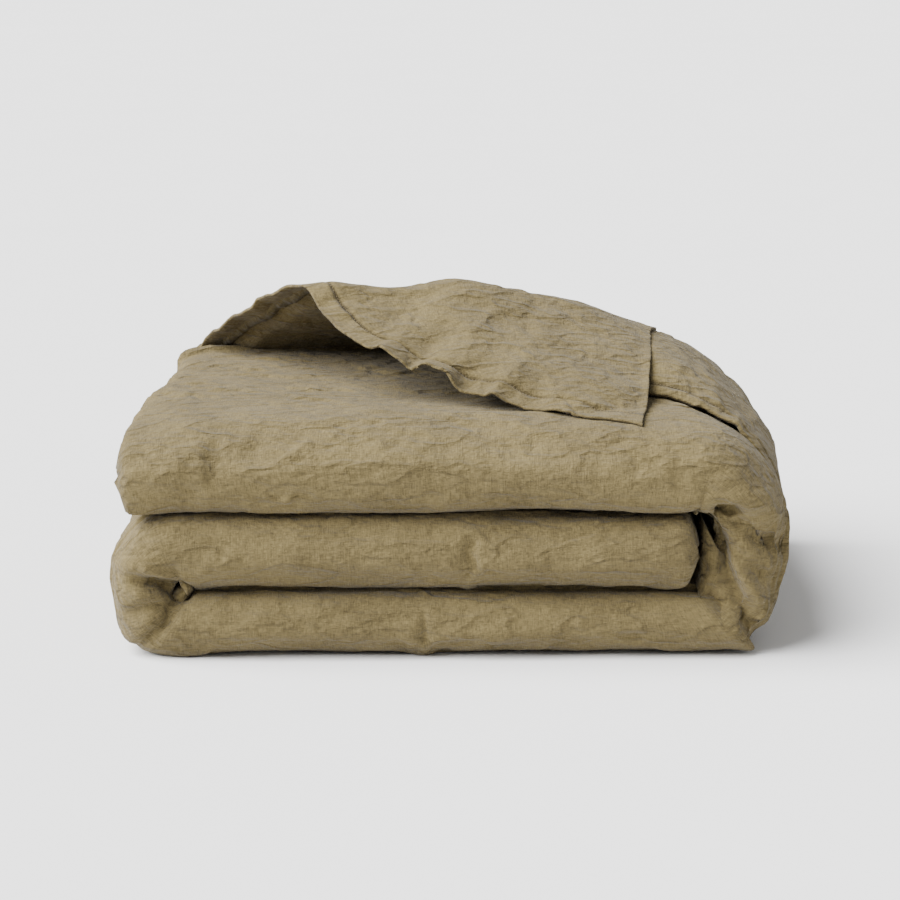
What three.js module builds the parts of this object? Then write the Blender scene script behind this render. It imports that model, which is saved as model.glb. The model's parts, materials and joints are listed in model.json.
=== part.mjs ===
// A filled duvet in a linen cover, put away as a folded stack. All sizes are in millimetres, +Z up, +X to the
// right of someone who faces the front of the stack, and the front is at -Y.
//
// The duvet is first folded in four along its width, so that it is a long strip of four layers: layers A and D
// have the duvet's two free sides at the back, and B and C are joined there by a fold. The strip is then folded
// in three: it starts with the middle run, turns down round the left bend into the bottom run, and comes up
// round the right bend into the top run. Layer A of the top run is turned over at the back, and its foot corner,
// with the button hem of the cover's opening, hangs forward over the stack as a flap.
import * as THREE from "three";

// Driving dimensions: the folded stack
const STACK_WIDTH = 680; // over both bends
const STACK_DEPTH = 520; // from the front folds to the side seams at the back
const HEAD_END_SETBACK = 5.2; // the strip starts this far short of the right bend
const FOOT_END_SETBACK = 8; // the strip ends, on top, this far short of the left side
const RIGHT_BEND_RISE_X = 52; // how far the right bend's centreline swells out from the runs
const LEFT_BEND_RISE_X = 37.2; // and the left bend's

// Driving dimensions: the layers
const CLOTH = 1.2; // wall of a cover sleeve
const INSIDE_CLEARANCE = 0.4; // between a sleeve and the insert in it
const LAYER_GAP = 0.8; // between two layers of one run
const RUN_GAP = 0.6; // between two runs
const JOIN_GAP = 0.4; // where one stretch of the strip meets the next
const PAD_BOTTOM = 12.6; // thickness of the insert, squashed most at the bottom
const PAD_MIDDLE = 16.4;
const PAD_TOP = 16.8;
const PAD_BEND = 12.6;
const SEAM = 3.2; // height and depth of a felled side seam
const SEAM_SETBACK = 5; // the free sides end this far short of the back fold
const HEM_WIDTH = 25; // the opening's hem
const HEAD_SEAM = 2; // the seam that closes the cover's head end

// Driving dimensions: the turned-over layer and its flap. Rises are heights over the top run.
const RIDGE_LEFT_X = 183; // from the left side of the stack
const RIDGE_LEFT_Y = -10;
const RIDGE_LEFT_RISE = 108;
const RIDGE_RIGHT_X = 43; // from where the right bend starts
const RIDGE_RIGHT_Y = 30;
const RIDGE_RIGHT_RISE = 54;
const TIP_X = 65; // from where the right bend starts
const TIP_Y = 75; // from the front of the stack
const TIP_GAP = 0.1; // between the flap's sheets and the top run, measured straight down
const WALL_FOOT_Y = 64; // from the back of the stack
const WALL_FOOT_OVERHANG = 72; // how far the back wall's foot starts to the left of the ridge
const RIDGE_CLEARANCE = 7; // kept free on both sides of the fold that the flap turns on
const TURNOVER_PAD = 12;
const SHEET_GAP = 0.5; // between sheets that lie on each other
const FLAP_DROPS = [0, 0.34, 0.64, 0.84]; // how far the hem hangs from the ridge, as shares of the tip's drop
const WRAP_FRONT_Y = -128; // the side seam's line, where the turned-over layer lies over the right bend
const WRAP_BACK_Y = 34;
const WRAP_PAD = 6;
const STITCH = 0.8;
const BUTTON_RADIUS = 7.5;
const BUTTON_THICKNESS = 2.6;
const BUTTON_COUNT = 4;
const TIE_RADIUS = 4.6; // the looped cords that hold the insert's corners in the cover's corners
const TIE_CORD = 0.9;

// How round things are
const FOLD_SEGMENTS = 10;
const SMALL_FOLD_SEGMENTS = 6;
const BEND_STEPS = 12;

const wall = INSIDE_CLEARANCE + CLOTH;
const layerThickness = (pad) => pad + 2 * wall;
const stripThickness = (pad) => 4 * layerThickness(pad) + 3 * LAYER_GAP;

const bottomTop = stripThickness(PAD_BOTTOM);
const middleBase = bottomTop + RUN_GAP;
const middleTop = middleBase + stripThickness(PAD_MIDDLE);
const topBase = middleTop + RUN_GAP;
const topTop = topBase + stripThickness(PAD_TOP);
const bendHalf = stripThickness(PAD_BEND) / 2;
const leftBendX = -STACK_WIDTH / 2 + bendHalf + LEFT_BEND_RISE_X;
const rightBendX = STACK_WIDTH / 2 - bendHalf - RIGHT_BEND_RISE_X;
const rightBendTopZ = topBase + stripThickness(PAD_TOP) / 2;
const headEndX = rightBendX - HEAD_END_SETBACK;
const footEndX = FOOT_END_SETBACK - STACK_WIDTH / 2;
const flapThickness = 4 * CLOTH + 3 * SHEET_GAP;
const tipZ = topTop + flapThickness + TIP_GAP;

const ridgeLeft = new THREE.Vector3(RIDGE_LEFT_X - STACK_WIDTH / 2, RIDGE_LEFT_Y, topTop + RIDGE_LEFT_RISE);
const ridgeRight = new THREE.Vector3(rightBendX - RIDGE_RIGHT_X, RIDGE_RIGHT_Y, topTop + RIDGE_RIGHT_RISE);
const flapTip = new THREE.Vector3(rightBendX - TIP_X, TIP_Y - STACK_DEPTH / 2, tipZ);

const linen = new THREE.MeshStandardMaterial({ color: 0x9a8a64, roughness: 0.92, metalness: 0 });
const linenInside = new THREE.MeshStandardMaterial({ color: 0x8f7f5b, roughness: 0.94, metalness: 0 });
const thread = new THREE.MeshStandardMaterial({ color: 0x8a7c58, roughness: 0.8, metalness: 0 });
const ticking = new THREE.MeshStandardMaterial({ color: 0xece7da, roughness: 0.9, metalness: 0 });
const cotton = new THREE.MeshStandardMaterial({ color: 0xe4dcc6, roughness: 0.9, metalness: 0 });
const coconut = new THREE.MeshStandardMaterial({ color: 0x6b4f35, roughness: 0.55, metalness: 0 });

const duvet = new THREE.Group();

function addPiece(parent, name, geometry, material) {
  const mesh = new THREE.Mesh(geometry, material);
  mesh.name = name;
  parent.add(mesh);
  return mesh;
}

// ---- The four-layer section of the strip, as (y, n) with n = 0 on the roll's inner side ----

// Points on an arc, without its first point.
function arcPoints(y, n, radius, from, to, segments) {
  const points = [];
  for (let i = 1; i <= segments; i++) {
    const angle = THREE.MathUtils.degToRad(from + ((to - from) * i) / segments);
    points.push(new THREE.Vector2(y + radius * Math.cos(angle), n + radius * Math.sin(angle)));
  }
  return points;
}

// One side of the strip's folded line, from the free side of A to that of D, moved outwards by side * half.
function foldedSide(pad, half, side, overrun) {
  const pitch = layerThickness(pad) + LAYER_GAP;
  const level = [0, 1, 2, 3].map((k) => layerThickness(pad) / 2 + k * pitch);
  const middle = (level[0] + level[3]) / 2;
  const outerRadius = (level[3] - level[0]) / 2;
  const smallRadius = pitch / 2;
  const front = -STACK_DEPTH / 2 + outerRadius + layerThickness(pad) / 2;
  const back = STACK_DEPTH / 2 - smallRadius - layerThickness(pad) / 2;
  const free = STACK_DEPTH / 2 - SEAM_SETBACK - SEAM - wall + overrun;
  const away = side * half;
  return [
    new THREE.Vector2(free, level[3] + away),
    new THREE.Vector2(front, level[3] + away),
    ...arcPoints(front, middle, outerRadius + away, 90, 270, FOLD_SEGMENTS),
    new THREE.Vector2(back, level[0] - away),
    ...arcPoints(back, (level[0] + level[1]) / 2, smallRadius + away, -90, 90, SMALL_FOLD_SEGMENTS),
    new THREE.Vector2(front, level[1] + away),
    ...arcPoints(front, middle, smallRadius - away, 270, 90, SMALL_FOLD_SEGMENTS),
    new THREE.Vector2(free, level[2] - away),
  ];
}

function foldedBand(pad, half, overrun) {
  return [...foldedSide(pad, half, 1, overrun), ...foldedSide(pad, half, -1, overrun).reverse()];
}

function insertSection(pad) {
  return new THREE.Shape(foldedBand(pad, pad / 2, 0));
}

function sleeveSection(pad) {
  const section = new THREE.Shape(foldedBand(pad, pad / 2 + wall, wall));
  section.holes.push(new THREE.Path(foldedBand(pad, pad / 2 + INSIDE_CLEARANCE, INSIDE_CLEARANCE)));
  return section;
}

function closedSection(pad) {
  return new THREE.Shape(foldedBand(pad, pad / 2 + wall, wall));
}

// ---- Straight runs and bends ----

// The three runs. outerUp is true where the roll's outer side faces up; from and to are the cover's ends.
const bottomRun = {
  pad: PAD_BOTTOM,
  baseZ: 0,
  outerUp: false,
  from: leftBendX + JOIN_GAP,
  to: rightBendX - JOIN_GAP,
};
const middleRun = {
  pad: PAD_MIDDLE,
  baseZ: middleBase,
  outerUp: true,
  from: leftBendX + JOIN_GAP,
  to: headEndX - HEAD_SEAM - JOIN_GAP,
};
const topRun = {
  pad: PAD_TOP,
  baseZ: topBase,
  outerUp: true,
  from: footEndX + HEM_WIDTH + JOIN_GAP,
  to: rightBendX - JOIN_GAP,
};

// A stretch of a run along X.
function runGeometry(section, run, fromX, toX) {
  const geometry = new THREE.ExtrudeGeometry(section, { depth: toX - fromX, bevelEnabled: false });
  const up = run.outerUp ? 1 : -1;
  const placed = new THREE.Matrix4().makeBasis(
    new THREE.Vector3(0, 1, 0),
    new THREE.Vector3(0, 0, up),
    new THREE.Vector3(up, 0, 0),
  );
  if (run.outerUp) placed.setPosition(fromX, 0, run.baseZ);
  else placed.setPosition(toX, 0, run.baseZ + stripThickness(run.pad));
  return geometry.applyMatrix4(placed);
}

// The height of the middle of a run's layer, counted from the roll's inner side.
function layerZ(run, layer) {
  const level = layerThickness(run.pad) / 2 + layer * (layerThickness(run.pad) + LAYER_GAP);
  return run.outerUp ? run.baseZ + level : run.baseZ + stripThickness(run.pad) - level;
}

// Half an ellipse in the XZ plane, from the bottom run's centreline up to the next run's.
class BendCurve extends THREE.Curve {
  constructor(x, fromZ, toZ, riseX) {
    super();
    Object.assign(this, { x, fromZ, toZ, riseX });
  }

  getPoint(t, target = new THREE.Vector3()) {
    const angle = Math.PI * (t - 0.5);
    const middle = (this.fromZ + this.toZ) / 2;
    const half = (this.toZ - this.fromZ) / 2;
    return target.set(this.x + this.riseX * Math.cos(angle), 0, middle + half * Math.sin(angle));
  }

  getTangent(t, target = new THREE.Vector3()) {
    const angle = Math.PI * (t - 0.5);
    const half = (this.toZ - this.fromZ) / 2;
    return target.set(-this.riseX * Math.sin(angle), 0, half * Math.cos(angle)).normalize();
  }
}

// A straight stretch of the section, one unit long, wrapped round the curve with n measured outwards.
function bendGeometry(section, curve) {
  const geometry = new THREE.ExtrudeGeometry(section, { depth: 1, steps: BEND_STEPS, bevelEnabled: false });
  const position = geometry.attributes.position;
  const toLeft = curve.riseX < 0;
  for (let i = 0; i < position.count; i++) {
    const t = toLeft ? position.getZ(i) : 1 - position.getZ(i);
    const on = curve.getPointAt(t);
    const tangent = curve.getTangentAt(t);
    const out = (position.getY(i) - bendHalf) * (toLeft ? -1 : 1);
    position.setXYZ(i, on.x + out * tangent.z, position.getX(i), on.z - out * tangent.x);
  }
  return geometry;
}

// A felled seam along a free side of the strip: layer 3 is A, and layer 2 is D.
function addSideSeam(name, run, layer) {
  const start = STACK_DEPTH / 2 - SEAM_SETBACK - SEAM + JOIN_GAP;
  const geometry = new THREE.BoxGeometry(run.to - run.from, SEAM, SEAM);
  geometry.translate((run.from + run.to) / 2, start + SEAM / 2, layerZ(run, layer));
  addPiece(duvet, name, geometry, linen);
}

// A run's insert between two ends, and the sleeve of cover round it.
function addRun(name, run, insertFrom, insertTo) {
  addPiece(duvet, "insert_" + name, runGeometry(insertSection(run.pad), run, insertFrom, insertTo), ticking);
  addPiece(duvet, "cover_" + name, runGeometry(sleeveSection(run.pad), run, run.from, run.to), linen);
  addSideSeam("side_seam_inner_" + name, run, 2);
}

function addBend(name, x, toZ, riseX) {
  const curve = new BendCurve(x, bendHalf, toZ, riseX);
  addPiece(duvet, "insert_" + name, bendGeometry(insertSection(PAD_BEND), curve), ticking);
  addPiece(duvet, "cover_" + name, bendGeometry(sleeveSection(PAD_BEND), curve), linen);
}

// A corner tie: the cover's cord loop, linked with the insert's own loop on its side towards the insert.
function addTie(name, x, towardsInsert, z) {
  const y = STACK_DEPTH / 2 - SEAM_SETBACK - SEAM - CLOTH - JOIN_GAP - TIE_RADIUS - TIE_CORD;
  const coverLoop = new THREE.TorusGeometry(TIE_RADIUS, TIE_CORD, 6, 14);
  const insertLoop = new THREE.TorusGeometry(TIE_RADIUS, TIE_CORD, 6, 14).rotateX(Math.PI / 2);
  addPiece(duvet, "cover_tie_" + name, coverLoop.translate(x, y, z), cotton);
  addPiece(duvet, "insert_loop_" + name, insertLoop.translate(x + towardsInsert * TIE_RADIUS, y, z), cotton);
}

function addStack() {
  const tieLength = 3 * TIE_RADIUS + 2 * TIE_CORD + 2 * JOIN_GAP;
  addRun("bottom_run", bottomRun, bottomRun.from, bottomRun.to);
  addRun("middle_run", middleRun, middleRun.from, headEndX - HEAD_SEAM - tieLength);
  addRun("top_run", topRun, footEndX + tieLength, topRun.to);
  addSideSeam("side_seam_outer_bottom_run", bottomRun, 3);
  addSideSeam("side_seam_outer_middle_run", middleRun, 3);
  addBend("left_bend", leftBendX, middleBase + stripThickness(PAD_MIDDLE) / 2, -LEFT_BEND_RISE_X);
  addBend("right_bend", rightBendX, rightBendTopZ, RIGHT_BEND_RISE_X);
  const headSeam = runGeometry(closedSection(PAD_MIDDLE), middleRun, headEndX - HEAD_SEAM, headEndX);
  addPiece(duvet, "head_end_seam", headSeam, linen);
  const hem = runGeometry(sleeveSection(PAD_TOP), topRun, footEndX, footEndX + HEM_WIDTH);
  addPiece(duvet, "opening_hem", hem, linen);
  const loopOut = TIE_RADIUS + TIE_CORD + JOIN_GAP;
  addTie("foot_inner", footEndX + loopOut, 1, layerZ(topRun, 2));
  addTie("head_outer", headEndX - HEAD_SEAM - loopOut, -1, layerZ(middleRun, 3));
  addTie("head_inner", headEndX - HEAD_SEAM - loopOut, -1, layerZ(middleRun, 2));
}

// ---- The turned-over layer ----

const ridge = ridgeRight.clone().sub(ridgeLeft);
const ridgeLength = ridge.length();
const along = ridge.clone().normalize();

// Where a point lies on its own slope off the ridge: how far along the ridge, and how far down from it.
function onSlope(through) {
  const arm = through.clone().sub(ridgeLeft);
  const x = arm.dot(along);
  return new THREE.Vector2(x, Math.sqrt(arm.lengthSq() - x * x));
}

function downSlope(through) {
  const arm = through.clone().sub(ridgeLeft);
  return arm.addScaledVector(along, -arm.dot(along)).normalize();
}

// A frame whose x runs along the ridge and whose y runs down the slope through the point given.
function slopeGroup(through) {
  const down = downSlope(through);
  const group = new THREE.Group();
  group.matrixAutoUpdate = false;
  group.matrix.makeBasis(along, down, along.clone().cross(down)).setPosition(ridgeLeft);
  duvet.add(group);
  return group;
}

// A flat sheet on a slope, between two heights over it.
function sheetGeometry(points, from, to) {
  const options = { depth: to - from, bevelEnabled: false };
  return new THREE.ExtrudeGeometry(new THREE.Shape(points), options).translate(0, 0, from);
}

const tip = onSlope(flapTip);

// The hem's lower edge on the slope, from the ridge's left end to the tip.
function hemLine() {
  const points = FLAP_DROPS.map(
    (share, i) => new THREE.Vector2((tip.x * i) / FLAP_DROPS.length, RIDGE_CLEARANCE + share * tip.y),
  );
  return [...points, tip.clone()];
}

// The strip between two distances in from the hem's edge.
function hemStrip(inner, outer) {
  const line = hemLine().slice(1);
  const lower = line.map((p) => new THREE.Vector2(p.x, p.y - outer));
  const upper = line.map((p) => new THREE.Vector2(p.x, p.y - inner)).reverse();
  return [...lower, ...upper];
}

function buttonGeometry() {
  const disc = new THREE.Shape().absarc(0, 0, BUTTON_RADIUS - 0.5, 0, 2 * Math.PI, false);
  for (let i = 0; i < 4; i++) {
    const angle = Math.PI / 4 + (i * Math.PI) / 2;
    const hole = new THREE.Path();
    hole.absarc(2.2 * Math.cos(angle), 2.2 * Math.sin(angle), 0.9, 0, 2 * Math.PI, true);
    disc.holes.push(hole);
  }
  return new THREE.ExtrudeGeometry(disc, {
    depth: BUTTON_THICKNESS - 1,
    bevelThickness: 0.5,
    bevelSize: 0.5,
    bevelSegments: 1,
    curveSegments: 5,
  });
}

// The flap's sheets from the face inwards: the face, the two leaves of its hem, and the cover's other panel.
function addFlap() {
  const flap = slopeGroup(flapTip);
  const panel = [new THREE.Vector2(ridgeLength - 4, RIDGE_CLEARANCE), ...hemLine().reverse()];
  const lining = panel.map((p) => new THREE.Vector2(p.x, Math.max(RIDGE_CLEARANCE, p.y - 1.5)));
  const pitch = CLOTH + SHEET_GAP;
  const sheets = [
    ["flap_face_panel", panel, linen],
    ["flap_hem_facing_outer", hemStrip(HEM_WIDTH, 0.5), linen],
    ["flap_hem_facing_inner", hemStrip(HEM_WIDTH, 1.5), linenInside],
    ["flap_lining_panel", lining, linenInside],
  ];
  sheets.forEach(([name, outline, cloth], i) => {
    addPiece(flap, name, sheetGeometry(outline, i * pitch, i * pitch + CLOTH), cloth);
  });
  const stitching = hemStrip(HEM_WIDTH - 2, HEM_WIDTH - 2 - STITCH);
  addPiece(flap, "flap_hem_stitching", sheetGeometry(stitching, -SHEET_GAP - STITCH / 2, -SHEET_GAP), thread);
  const line = hemLine();
  for (let i = 1; i <= BUTTON_COUNT; i++) {
    const share = (i / (BUTTON_COUNT + 1)) * (line.length - 2) + 1;
    const k = Math.floor(share);
    const at = line[k].clone().lerp(line[Math.min(k + 1, line.length - 1)], share - k);
    const button = buttonGeometry().translate(at.x, at.y - HEM_WIDTH / 2, sheets.length * pitch + 0.5);
    addPiece(flap, "button_" + i, button, coconut);
  }
}

// The back wall's sheets hang from its face plane, which starts this much over its foot.
const wallDepth = 2 * CLOTH + 2 * SHEET_GAP + TURNOVER_PAD;

function wallFoot() {
  const y = STACK_DEPTH / 2 - WALL_FOOT_Y;
  return new THREE.Vector3((ridgeLeft.x + ridgeRight.x) / 2, y, topTop + wallDepth);
}

function addBackWall() {
  const foot = wallFoot();
  const back = slopeGroup(foot);
  const drop = onSlope(foot).y;
  const outline = [
    new THREE.Vector2(2, RIDGE_CLEARANCE),
    new THREE.Vector2(ridgeLength, RIDGE_CLEARANCE),
    new THREE.Vector2(ridgeLength + 8, drop * 0.42),
    new THREE.Vector2(ridgeLength * 0.6, drop * 0.82),
    new THREE.Vector2(-WALL_FOOT_OVERHANG, drop),
    new THREE.Vector2(-WALL_FOOT_OVERHANG - 20, drop * 0.8),
  ];
  const padOutline = outline.map((p, i) =>
    new THREE.Vector2(p.x + (i === 0 || i > 3 ? HEM_WIDTH : -3), i < 2 ? p.y : p.y - 4));
  const hemEdge = [outline[0], outline[5]];
  const hemInner = hemEdge.map((p) => new THREE.Vector2(p.x + HEM_WIDTH * 0.75, p.y)).reverse();
  const padTop = -CLOTH - SHEET_GAP;
  const padBase = padTop - TURNOVER_PAD;
  addPiece(back, "turnover_face_panel", sheetGeometry(outline, -CLOTH, 0), linen);
  const hemFacing = sheetGeometry([...hemEdge, ...hemInner], padTop - CLOTH, padTop);
  addPiece(back, "turnover_hem_facing", hemFacing, linen);
  addPiece(back, "insert_turnover", sheetGeometry(padOutline, padBase, padTop), ticking);
  addPiece(
    back,
    "turnover_lining_panel",
    sheetGeometry(outline, padBase - SHEET_GAP - CLOTH, padBase - SHEET_GAP),
    linenInside,
  );
}

// The roll of cloth on the ridge, from the back wall's face round to the flap's.
function addRidgeFold() {
  const flapDown = downSlope(flapTip);
  const wallDown = downSlope(wallFoot());
  const side = wallDown.clone().addScaledVector(flapDown, -1).normalize();
  const up = along.clone().cross(side).normalize();
  const group = new THREE.Group();
  group.matrixAutoUpdate = false;
  group.matrix.makeBasis(side, up, side.clone().cross(up)).setPosition(ridgeLeft);
  duvet.add(group);
  const reach = RIDGE_CLEARANCE - JOIN_GAP;
  const flat = (down) => new THREE.Vector2(down.dot(side), down.dot(up));
  const outer = (down) => flat(down).multiplyScalar(reach);
  const inner = (down, turn) => {
    const way = flat(down);
    return outer(down).add(new THREE.Vector2(turn * way.y, -turn * way.x).multiplyScalar(CLOTH));
  };
  const start = outer(flapDown);
  const end = outer(wallDown);
  const innerEnd = inner(wallDown, 1);
  const innerStart = inner(flapDown, -1);
  const section = new THREE.Shape();
  section.moveTo(start.x, start.y);
  section.quadraticCurveTo(0, -start.y * 0.2, end.x, end.y);
  section.lineTo(innerEnd.x, innerEnd.y);
  section.quadraticCurveTo(0, -start.y * 0.2 - CLOTH, innerStart.x, innerStart.y);
  const geometry = new THREE.ExtrudeGeometry(section, {
    depth: ridgeLength - 8,
    curveSegments: 6,
    bevelEnabled: false,
  });
  const alongZ = side.clone().cross(up).dot(along) > 0 ? 1 : -1;
  addPiece(group, "turnover_ridge_fold", geometry.translate(0, 0, alongZ > 0 ? 4 : 4 - ridgeLength), linen);
}

// The turned-over layer where it runs on to the right and lies over the bend, with the side seam at its front.
function addWrap() {
  const curve = new BendCurve(rightBendX, bendHalf, rightBendTopZ, RIGHT_BEND_RISE_X);
  const crest = new THREE.Vector2(ridgeRight.x + 12, ridgeRight.z - 24);
  const edge = (lift) => {
    const points = [new THREE.Vector2(crest.x, crest.y + lift)];
    for (let i = 0; i <= 5; i++) {
      const t = 0.92 - 0.06 * i;
      const on = curve.getPointAt(t);
      const tangent = curve.getTangentAt(t);
      const out = bendHalf + SHEET_GAP + lift + (t > 0.7 ? (t - 0.7) * 3 * TURNOVER_PAD : 0);
      points.push(new THREE.Vector2(on.x + out * tangent.z, on.z - out * tangent.x));
    }
    return points;
  };
  const strip = (low, high, front, back) => {
    const outline = new THREE.Shape([...edge(high), ...edge(low).reverse()]);
    const geometry = new THREE.ExtrudeGeometry(outline, { depth: back - front, bevelEnabled: false });
    return geometry.rotateX(Math.PI / 2).translate(0, back, 0);
  };
  const face = WRAP_PAD + SHEET_GAP;
  const seamBack = WRAP_FRONT_Y + SEAM;
  const panel = strip(face, face + CLOTH, seamBack + JOIN_GAP, WRAP_BACK_Y);
  addPiece(duvet, "turnover_wrap_panel", panel, linen);
  addPiece(duvet, "insert_turnover_wrap", strip(0, WRAP_PAD, seamBack + HEM_WIDTH, WRAP_BACK_Y - 2), ticking);
  addPiece(duvet, "side_seam_turnover", strip(face - 1, face + CLOTH + 1, WRAP_FRONT_Y, seamBack), linen);
}

addStack();
addFlap();
addBackWall();
addRidgeFold();
addWrap();

// The origin is under the middle of the whole, and the wrap makes the right side a little longer.
duvet.updateMatrixWorld(true);
const bounds = new THREE.Box3().setFromObject(duvet, true);
duvet.position.x = -(bounds.min.x + bounds.max.x) / 2;

export default duvet;
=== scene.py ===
import json
import math

import bpy
import numpy as np
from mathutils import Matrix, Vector


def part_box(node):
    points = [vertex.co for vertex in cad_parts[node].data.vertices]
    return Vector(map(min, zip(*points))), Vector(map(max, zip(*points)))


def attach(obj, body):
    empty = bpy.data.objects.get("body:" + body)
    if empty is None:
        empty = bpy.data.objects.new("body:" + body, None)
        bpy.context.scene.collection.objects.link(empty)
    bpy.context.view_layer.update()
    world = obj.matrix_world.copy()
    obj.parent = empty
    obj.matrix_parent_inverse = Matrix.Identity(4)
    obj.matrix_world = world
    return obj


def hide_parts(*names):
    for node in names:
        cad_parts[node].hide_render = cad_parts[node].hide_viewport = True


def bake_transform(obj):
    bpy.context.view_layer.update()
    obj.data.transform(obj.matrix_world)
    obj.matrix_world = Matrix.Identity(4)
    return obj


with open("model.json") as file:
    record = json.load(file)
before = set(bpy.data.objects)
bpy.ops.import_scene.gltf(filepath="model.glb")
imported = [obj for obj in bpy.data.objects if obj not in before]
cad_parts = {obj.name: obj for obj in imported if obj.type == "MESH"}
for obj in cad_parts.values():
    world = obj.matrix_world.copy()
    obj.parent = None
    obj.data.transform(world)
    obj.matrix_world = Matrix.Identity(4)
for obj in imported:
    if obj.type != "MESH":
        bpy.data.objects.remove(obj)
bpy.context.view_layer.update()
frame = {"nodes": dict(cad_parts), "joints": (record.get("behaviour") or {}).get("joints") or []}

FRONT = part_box("cover_middle_run")[0].y
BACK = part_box("cover_middle_run")[1].y
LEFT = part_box("cover_left_bend")[0].x
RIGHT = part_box("cover_right_bend")[1].x
BOTTOM_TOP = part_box("cover_bottom_run")[1].z
MIDDLE_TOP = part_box("cover_middle_run")[1].z
TOP_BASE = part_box("cover_top_run")[0].z
TOP_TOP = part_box("cover_top_run")[1].z
HEAD_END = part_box("head_end_seam")[1].x
FOOT_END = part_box("opening_hem")[0].x
BEND_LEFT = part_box("cover_bottom_run")[0].x
BEND_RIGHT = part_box("cover_bottom_run")[1].x
RIDGE = next(j for j in frame["joints"] if j["name"] == "flap_turn")


# ---- Seeded noise and vector helpers ----


def lattice(seed):
    return np.random.default_rng(seed).random((32, 32, 32))


LATTICES = [lattice(seed) for seed in range(6)]


def noise(points, size, seed=0):
    """Smooth noise from -1 to 1 whose features are about size across."""
    grid = LATTICES[seed % len(LATTICES)]
    p = points / np.asarray(size) + 17.3 * (seed + 1)
    cell = np.floor(p).astype(int)
    f = p - cell
    f = f * f * (3 - 2 * f)
    total = np.zeros(len(points))
    for dx in (0, 1):
        for dy in (0, 1):
            for dz in (0, 1):
                value = grid[(cell[:, 0] + dx) % 32, (cell[:, 1] + dy) % 32, (cell[:, 2] + dz) % 32]
                wx = f[:, 0] if dx else 1 - f[:, 0]
                wy = f[:, 1] if dy else 1 - f[:, 1]
                wz = f[:, 2] if dz else 1 - f[:, 2]
                total += value * wx * wy * wz
    return 2 * total - 1


def noise_along(run, across, size, seed):
    """The same noise along a line: run is the place on it, across a second place to read it at."""
    run = np.asarray(run, float)
    return noise(np.stack([run, np.broadcast_to(across, run.shape), 0 * run], axis=1), size, seed)


def ridged(points, size, seed=0):
    """Noise with narrow crests, from 0 to 1."""
    return (1 - np.abs(noise(points, size, seed))) ** 3


def smooth(x, low, high):
    t = np.clip((x - low) / (high - low), 0, 1)
    return t * t * (3 - 2 * t)


def unit(vectors):
    return vectors / np.maximum(np.linalg.norm(vectors, axis=-1, keepdims=True), 1e-12)


def curve_through(points, count):
    """Points evenly spread along a smooth curve through the ones given."""
    pts = np.asarray(points, float)
    ends = np.vstack([2 * pts[0] - pts[1], pts, 2 * pts[-1] - pts[-2]])
    fine = []
    for i in range(len(pts) - 1):
        a, b, c, d = ends[i : i + 4]
        t = np.linspace(0, 1, 24, endpoint=False)[:, None]
        fine.append(0.5 * (2 * b + (c - a) * t + (2 * a - 5 * b + 4 * c - d) * t**2 + (3 * b - a - 3 * c + d) * t**3))
    fine = np.vstack(fine + [pts[-1:]])
    length = np.concatenate([[0], np.cumsum(np.linalg.norm(np.diff(fine, axis=0), axis=1))])
    at = np.linspace(0, length[-1], count)
    return np.stack([np.interp(at, length, fine[:, k]) for k in range(fine.shape[1])], axis=1)


# ---- Meshes ----


def mesh_object(name, points, faces, uvs=None):
    mesh = bpy.data.meshes.new(name)
    mesh.from_pydata([tuple(p) for p in points], [], faces)
    if uvs is not None:
        layer = mesh.uv_layers.new(name="cloth")
        corner = np.empty(len(mesh.loops), dtype=int)
        mesh.loops.foreach_get("vertex_index", corner)
        layer.data.foreach_set("uv", np.asarray(uvs)[corner].ravel())
    mesh.polygons.foreach_set("use_smooth", [True] * len(mesh.polygons))
    mesh.update()
    piece = bpy.data.objects.new(name, mesh)
    bpy.context.scene.collection.objects.link(piece)
    return piece


def points_of(piece):
    flat = np.empty(3 * len(piece.data.vertices))
    piece.data.vertices.foreach_get("co", flat)
    return flat.reshape(-1, 3)


def set_points(piece, points):
    piece.data.vertices.foreach_set("co", np.asarray(points, float).ravel())
    piece.data.update()


def finer(grid, closed):
    """The grid with a new point between every two, on a smooth curve through their neighbours."""

    def along_rows(g, ring):
        if ring:
            before, after, far = np.roll(g, 1, 0), np.roll(g, -1, 0), np.roll(g, -2, 0)
            middle = (9 * (g + after) - before - far) / 16
            return np.stack([g, middle], axis=1).reshape(-1, *g.shape[1:])
        padded = np.concatenate([2 * g[:1] - g[1:2], g, 2 * g[-1:] - g[-2:-1]])
        middle = (9 * (padded[1:-2] + padded[2:-1]) - padded[:-3] - padded[3:]) / 16
        body = np.stack([g[:-1], middle], axis=1).reshape(-1, *g.shape[1:])
        return np.concatenate([body, g[-1:]])

    return along_rows(along_rows(grid, False).swapaxes(0, 1), closed).swapaxes(0, 1)


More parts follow.
